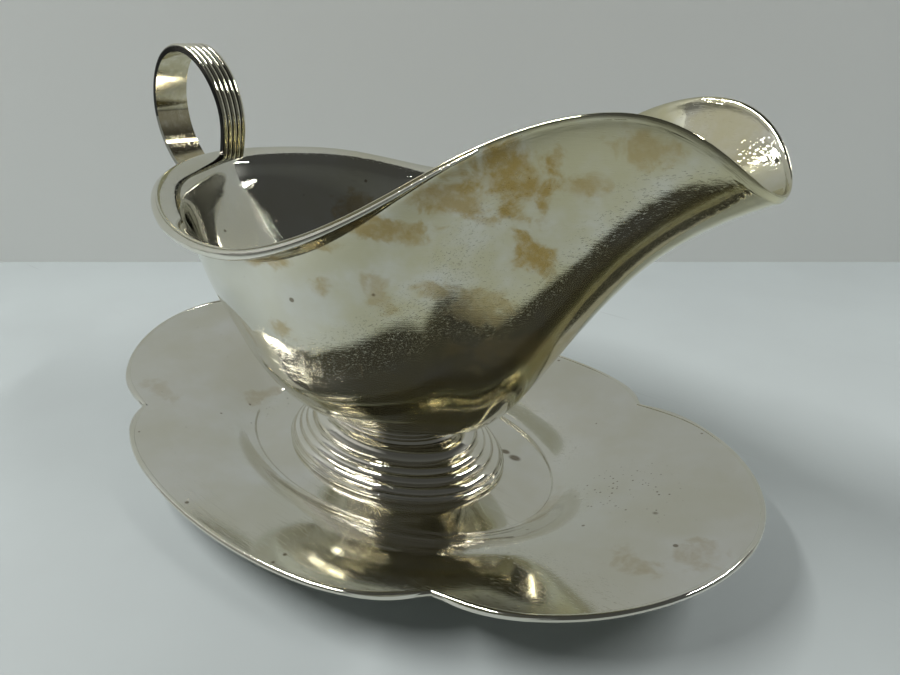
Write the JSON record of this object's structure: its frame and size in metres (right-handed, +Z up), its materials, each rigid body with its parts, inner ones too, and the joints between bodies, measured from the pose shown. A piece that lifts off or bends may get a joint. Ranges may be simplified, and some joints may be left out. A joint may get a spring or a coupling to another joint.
{
  "type": "sauce boat with stand",
  "caption": "Footed sauce boat with a flared spout and a reeded strap handle, resting loose in the well of a dished four-lobed stand.",
  "frame": {"origin": "middle of the stand's underside, on the table", "axes": "+Z up, +X towards the spout, +Y to the left of someone who pours"},
  "size_m": [0.2302, 0.1452, 0.1246],
  "materials": {
    "stand_plate": "polished silver plate, lightly tarnished and brushed by wear",
    "stand_edge_wire_front": "polished silver plate, dark underneath",
    "stand_edge_wire_left": "polished silver plate, dark underneath",
    "stand_edge_wire_back": "polished silver plate, dark underneath",
    "stand_edge_wire_right": "polished silver plate, dark underneath",
    "bowl_shell": "polished silver plate with yellow-brown tarnish patches",
    "rim_wire": "polished silver plate",
    "foot_shell": "bright polished silver plate",
    "foot_base_wire": "polished silver plate, tarnished where it stands",
    "foot_collar": "bright polished silver plate",
    "handle_strap": "polished silver plate, dark in the grooves between its reeds"
  },
  "bodies": {
    "stand": {"stand_plate": "stand_plate", "stand_edge_wire_front": "stand_edge_wire_front", "stand_edge_wire_left": "stand_edge_wire_left", "stand_edge_wire_back": "stand_edge_wire_back", "stand_edge_wire_right": "stand_edge_wire_right"},
    "boat": {"bowl_shell": "bowl_shell", "rim_wire": "rim_wire", "foot_shell": "foot_shell", "foot_base_wire": "foot_base_wire", "foot_collar": "foot_collar", "handle_strap": "handle_strap"}
  },
  "joints": [
    {"name": "boat_lift", "type": "slide", "parent": "stand", "child": "boat", "axis": [0, 0, 1], "range_m": [0, 0.14]}
  ]
}
